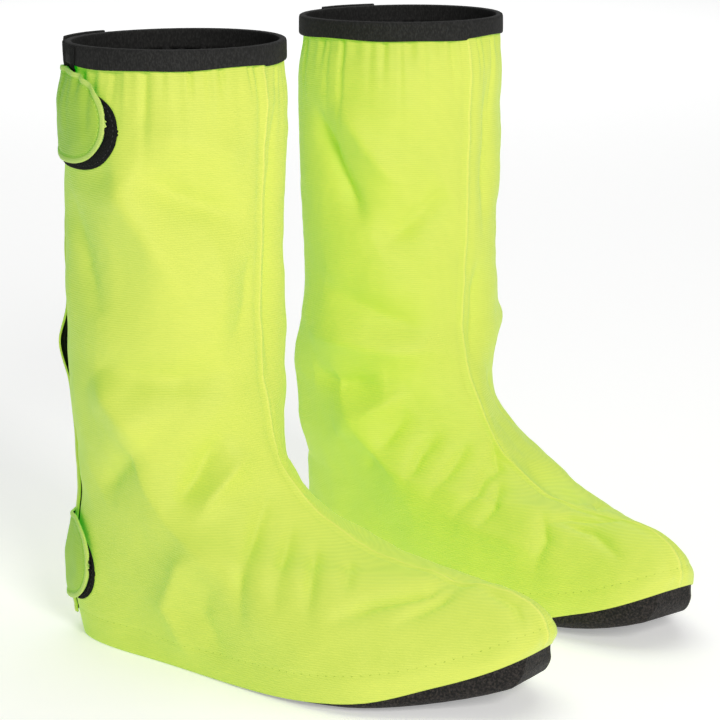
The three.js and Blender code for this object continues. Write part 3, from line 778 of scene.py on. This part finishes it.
def tongue(kind, distance, margin=0):
    """Lower and upper height of a tongue at a distance round the cover."""
    root, end, turn, mid_root, mid_end, half_root, half = TONGUES[kind]
    end, half, half_root = end - margin, half - margin, half_root - margin
    e = np.clip((distance - turn) / (end - turn), 0, 1)
    round_off = np.clip(1 - e**3, 0, 1) ** 0.46
    middle = mix(mid_root, mid_end, np.clip((distance - root) / (end - root), 0, 1))
    reach = mix(half_root, half, smooth(distance, root, max(turn, root + 20))) * round_off
    return middle - reach, middle + reach


def tongue_grid(kind, start, across, up, margin=0):
    """Distances and heights over a tongue from start to its end, and how far each is from the edge in mm."""
    end = TONGUES[kind][1] - margin
    distance = start + (end - start) * (1 - (1 - across) ** 2)
    low, high = tongue(kind, distance, margin)
    height = mix(low, high, up)
    around = start + (end - start) * (1 - (1 - np.linspace(0, 1, 160)) ** 2.5)
    bottom, top = tongue(kind, around, margin)
    rim = np.concatenate([np.stack([around, bottom], 1), np.stack([around, top], 1)])
    edge = np.full(len(distance), 99.0)
    for spot in rim:
        edge = np.minimum(edge, np.hypot(distance - spot[0], height - spot[1]))
    return distance, height, edge


def tab_stand(distance):
    return mix(4.2, 2.4, smooth(distance, FLAP_EDGE + 1, FLAP_EDGE + 11))


for side in SIDES:
    for kind, patch in (("top_tab", "top_patch"), ("heel_tab", "heel_patch")):
        def place(across, up):
            distance, height, edge = tongue_grid(kind, TONGUES[kind][0], across, up)
            lift = 0.45 * (1 - smooth(edge, 2.4, 3.3))
            lift -= 0.45 * np.exp(-(((edge - TAB_STITCHES) / 0.55) ** 2))
            lift += 0.7 * smooth(edge, 4, 12) - 0.5 * (1 - smooth(edge, 0, 0.9))
            dents = np.array([noise.noise(Vector((d * 0.07, h * 0.07, 2.0 if side == "right" else 5.0)))
                              for d, h in zip(distance, height)])
            lift += 0.9 * dents * smooth(edge, 3, 9)
            points = wrap(side, height, distance, tab_stand(distance) + TAB + lift)
            return points, np.stack([distance, height], 1) / 1000, edge

        piece = grid_piece(f"{side}_{kind}_tongue", 70, 56, place, side, weld=True)
        thicken(piece, TAB, inside=1, rim=0)
        finish_piece(piece, [tab_cloth_painted_shade, backing], f"{side}_{kind}", [f"{side}_{kind}"])

        def place(across, up):
            distance, height, _ = tongue_grid(kind, FLAP_EDGE + 12, across, up, 5)
            return wrap(side, height, distance, 2.2), np.stack([distance, height], 1) / 1000

        word = kind.split("_")[0]
        piece = grid_piece(f"{side}_{word}_hooks", 20, 20, place, side, weld=True)
        thicken(piece, PATCH)
        finish_piece(piece, [hook_tape], f"{side}_{kind}", [f"{side}_{word}_hook_pad"])

        def place(across, up):
            distance, height, edge = tongue_grid(patch, TONGUES[patch][0], across, up)
            lift = 1.2 - 0.5 * (1 - smooth(edge, 0, 0.8))
            lift -= 0.25 * np.exp(-(((edge - PATCH_STITCHES) / 0.5) ** 2))
            return wrap(side, height, distance, lift), np.stack([distance, height], 1) / 1000

        piece = grid_piece(f"{side}_{patch}_loops", 50, 50, place, side, weld=True)
        thicken(piece, PATCH)
        finish_piece(piece, [loop_pile], f"{side}_cover", [f"{side}_{word}_loop_patch"])

# ---------------------------------------------------------------------------------------------------
# Stitching: short threads that lie along the hem above the sole, round the tabs and patches, and down the
# flap's free edge. Each thread is a low spindle of eight faces.


def threads(name, side, points, outwards, pitch, length, width, rise=0.15):
    """One mesh of spindles set every pitch mm along a line of points."""
    run = np.concatenate([[0], np.cumsum(np.linalg.norm(np.diff(points, axis=0), axis=1))])
    b = bmesh.new()
    for at in np.arange(pitch / 2, run[-1], pitch):
        middle = np.array([np.interp(at, run, points[:, k]) for k in range(3)])
        ahead = np.array([np.interp(at + 0.4, run, points[:, k]) for k in range(3)])
        behind = np.array([np.interp(at - 0.4, run, points[:, k]) for k in range(3)])
        out = np.array([np.interp(at, run, outwards[:, k]) for k in range(3)])
        out /= np.linalg.norm(out)
        way = (ahead - behind) / max(np.linalg.norm(ahead - behind), 1e-6)
        across = np.cross(out, way)
        middle = middle + out * rise
        ring = [middle + (across * cos(a) + out * sin(a)) * width / 2 for a in (0, pi / 2, pi, 3 * pi / 2)]
        tips = [middle - way * length / 2, middle + way * length / 2]
        corners = [b.verts.new(placed(p, side)) for p in ring]
        ends = [b.verts.new(placed(p, side)) for p in tips]
        for i in range(4):
            b.faces.new((corners[i], corners[(i + 1) % 4], ends[1]))
            b.faces.new((corners[(i + 1) % 4], corners[i], ends[0]))
    bmesh.ops.recalc_face_normals(b, faces=b.faces)
    data = bpy.data.meshes.new(name)
    b.to_mesh(data)
    b.free()
    piece = bpy.data.objects.new(name, data)
    bpy.context.collection.objects.link(piece)
    return piece


def thread_material(name, colour, painted_glow):
    m, tree, surface = new_material(name)
    place = node(tree, "ShaderNodeTexCoord")
    twist = node(tree, "ShaderNodeTexNoise", Scale=1800.0, Detail=2.0)
    tree.links.new(place.outputs["Object"], twist.inputs["Vector"])
    tint = node(tree, "ShaderNodeHueSaturation", Color=(*colour, 1))
    tree.links.new(maths(tree, "MULTIPLY_ADD", twist.outputs["Fac"], 0.5, 0.75), tint.inputs["Value"])
    tree.links.new(tint.outputs[0], surface.inputs["Base Color"])
    surface.inputs["Roughness"].default_value = 0.6
    # Painted glow: an even green emission, though the thread is no lamp.
    surface.inputs["Emission Color"].default_value = (*painted_glow, 1)
    surface.inputs["Emission Strength"].default_value = 1.0
    return m


# Thread colours, with a painted green glow. The hem's thread is a darker copy of the pale one: painted shade of
# the stitches sunk in the hem's groove.
pale_thread = thread_material("pale_thread", (0.62, 0.60, 0.16), (0.0, 0.2, 0.0))
painted_shade_thread = thread_material("shaded_thread", (0.42, 0.40, 0.05), (0.0, 0.12, 0.0))
black_thread = thread_material("black_thread", (0.03, 0.03, 0.03), (0.0, 0.0, 0.0))

for side in SIDES:
    # The hem's line of stitches keeps one height above the sole's edge, all the way round.
    line, out = [], []
    for sign in (1, -1):
        share = np.linspace(0.14, 0.995, 150)
        if sign < 0:
            share = share[::-1]
        spots = []
        for s in share:
            levels = np.linspace(0, 0.35, 60)
            rise = bare(levels, angle_at(levels, sign * s * side_length(levels, sign)))[:, 2]
            spots.append(np.interp(rise[0] + HEM, rise, levels))
        level = np.array(spots)
        distance = share * side_length(level, sign)
        line.append(cloth_point(side, sign, level, distance))
        out.append(normals(level, angle_at(level, sign * distance)))
    line, out = np.concatenate(line), np.concatenate(out)
    piece = threads(f"{side}_hem_stitches", side, line, out, 5.2, 1.7, 0.55, 0.0)
    # The hem stitches use the darkened thread: painted shade.
    finish_piece(piece, [painted_shade_thread], f"{side}_cover", [])

    # Down the flap, inside its free edge.
    height = np.linspace(FLAP_LOW + 3, FLAP_HIGH - 2, 220)
    distance = FLAP_EDGE - 3.8 + 0.8 * np.sin(height / 29)
    stand = FLAP_IN + CLOTH + gape(height, distance) - 0.3
    line = wrap(side, height, distance, stand)
    level = np.minimum(level_at(height), 2)
    out = normals(level, angle_at(level, distance))
    piece = threads(f"{side}_flap_stitches", side, line, out, 3.4, 2.3, 0.5, 0.2)
    finish_piece(piece, [pale_thread], f"{side}_flap", [])

    # Round each tab, inside its bound edge, and round each patch.
    for kind in ("top_tab", "heel_tab", "top_patch", "heel_patch"):
        is_tab = kind.endswith("tab")
        inset = TAB_STITCHES if is_tab else PATCH_STITCHES
        start, end = TONGUES[kind][0] + 4, TONGUES[kind][1] - inset
        out_way = start + (end - start) * (1 - (1 - np.linspace(0, 1, 90)) ** 2.5)
        low, high = tongue(kind, out_way, inset)
        distance = np.concatenate([out_way, out_way[::-1]])
        height = np.concatenate([low, high[::-1]])
        line = wrap(side, height, distance, tab_stand(distance) + TAB - 0.25 if is_tab else 1.0)
        level = np.minimum(level_at(height), 2)
        out = normals(level, angle_at(level, distance))
        piece = threads(f"{side}_{kind}_stitches", side, line, out, 2.9, 2.0, 0.5, 0.1)
        if is_tab:
            finish_piece(piece, [pale_thread], f"{side}_{kind}", [])
        else:
            finish_piece(piece, [black_thread], f"{side}_cover", [])
